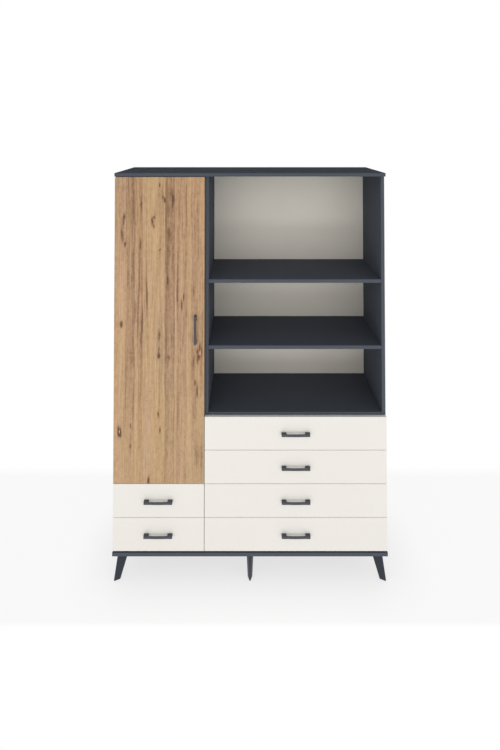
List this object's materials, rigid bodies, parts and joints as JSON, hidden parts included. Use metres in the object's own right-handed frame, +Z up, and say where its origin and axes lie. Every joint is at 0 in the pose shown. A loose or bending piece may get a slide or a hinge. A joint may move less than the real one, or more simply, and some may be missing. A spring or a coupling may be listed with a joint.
{
  "type": "cupboard",
  "caption": "Free-standing cupboard on splayed V legs: tall oak door over narrow drawers, beside open shelves over wide drawers, with bridge handles.",
  "frame": {"origin": "on the ground under the middle of the object's bounding box, handles included", "axes": "+Z up, the fronts face -Y, +X to the right as seen from the front"},
  "size_m": [1.2016, 0.418, 1.7789],
  "materials": {
    "graphite_board": "matt graphite melamine on chipboard",
    "oak_front": "knotty oak decor melamine on chipboard, matt",
    "cream_front": "smooth cream melamine on chipboard, satin",
    "greige_back": "pale warm grey lacquered hardboard",
    "drawer_board": "light grey melamine on chipboard",
    "dark_metal": "dark grey powder coat",
    "zinc_steel": "zinc plated sheet steel"
  },
  "bodies": {
    "carcass": {"top_plate": "graphite_board", "bottom_plate": "graphite_board", "left_outer_side": "graphite_board", "left_inner_side": "graphite_board", "right_inner_side": "graphite_board", "right_outer_side": "graphite_board", "left_back_panel": "greige_back", "right_back_panel": "greige_back", "left_fixed_shelf": "graphite_board", "right_fixed_shelf": "graphite_board", "open_shelf_lower": "graphite_board", "open_shelf_upper": "graphite_board", "door_shelf_lower": "graphite_board", "door_shelf_middle": "graphite_board", "door_shelf_upper": "graphite_board", "leg_front_left": "dark_metal", "leg_front_centre": "dark_metal", "leg_front_right": "dark_metal", "leg_rear_left": "dark_metal", "leg_rear_centre": "dark_metal", "leg_rear_right": "dark_metal", "hinge_arm_lower": "zinc_steel", "hinge_arm_middle": "zinc_steel", "hinge_arm_upper": "zinc_steel", "left_drawer_1_rail_left": "zinc_steel", "left_drawer_1_rail_right": "zinc_steel", "left_drawer_2_rail_left": "zinc_steel", "left_drawer_2_rail_right": "zinc_steel", "right_drawer_1_rail_left": "zinc_steel", "right_drawer_1_rail_right": "zinc_steel", "right_drawer_2_rail_left": "zinc_steel", "right_drawer_2_rail_right": "zinc_steel", "right_drawer_3_rail_left": "zinc_steel", "right_drawer_3_rail_right": "zinc_steel", "right_drawer_4_rail_left": "zinc_steel", "right_drawer_4_rail_right": "zinc_steel"},
    "door": {"door_panel": "oak_front", "door_handle": "dark_metal", "hinge_cup_lower": "zinc_steel", "hinge_cup_middle": "zinc_steel", "hinge_cup_upper": "zinc_steel"},
    "left_drawer_1": {"left_drawer_1_front": "cream_front", "left_drawer_1_handle": "dark_metal", "left_drawer_1_box": "drawer_board"},
    "left_drawer_2": {"left_drawer_2_front": "cream_front", "left_drawer_2_handle": "dark_metal", "left_drawer_2_box": "drawer_board"},
    "right_drawer_1": {"right_drawer_1_front": "cream_front", "right_drawer_1_handle": "dark_metal", "right_drawer_1_box": "drawer_board"},
    "right_drawer_2": {"right_drawer_2_front": "cream_front", "right_drawer_2_handle": "dark_metal", "right_drawer_2_box": "drawer_board"},
    "right_drawer_3": {"right_drawer_3_front": "cream_front", "right_drawer_3_handle": "dark_metal", "right_drawer_3_box": "drawer_board"},
    "right_drawer_4": {"right_drawer_4_front": "cream_front", "right_drawer_4_handle": "dark_metal", "right_drawer_4_box": "drawer_board"}
  },
  "joints": [
    {"name": "door_hinge", "type": "hinge", "parent": "carcass", "child": "door", "pos_m": [-0.595, -0.17585, 0.4235], "axis": [0, 0, -1], "range_deg": [0, 105]},
    {"name": "left_drawer_1_slide", "type": "slide", "parent": "carcass", "child": "left_drawer_1", "axis": [0, -1, 0], "range_m": [0, 0.26]},
    {"name": "left_drawer_2_slide", "type": "slide", "parent": "carcass", "child": "left_drawer_2", "axis": [0, -1, 0], "range_m": [0, 0.26]},
    {"name": "right_drawer_1_slide", "type": "slide", "parent": "carcass", "child": "right_drawer_1", "axis": [0, -1, 0], "range_m": [0, 0.26]},
    {"name": "right_drawer_2_slide", "type": "slide", "parent": "carcass", "child": "right_drawer_2", "axis": [0, -1, 0], "range_m": [0, 0.26]},
    {"name": "right_drawer_3_slide", "type": "slide", "parent": "carcass", "child": "right_drawer_3", "axis": [0, -1, 0], "range_m": [0, 0.26]},
    {"name": "right_drawer_4_slide", "type": "slide", "parent": "carcass", "child": "right_drawer_4", "axis": [0, -1, 0], "range_m": [0, 0.26]}
  ]
}
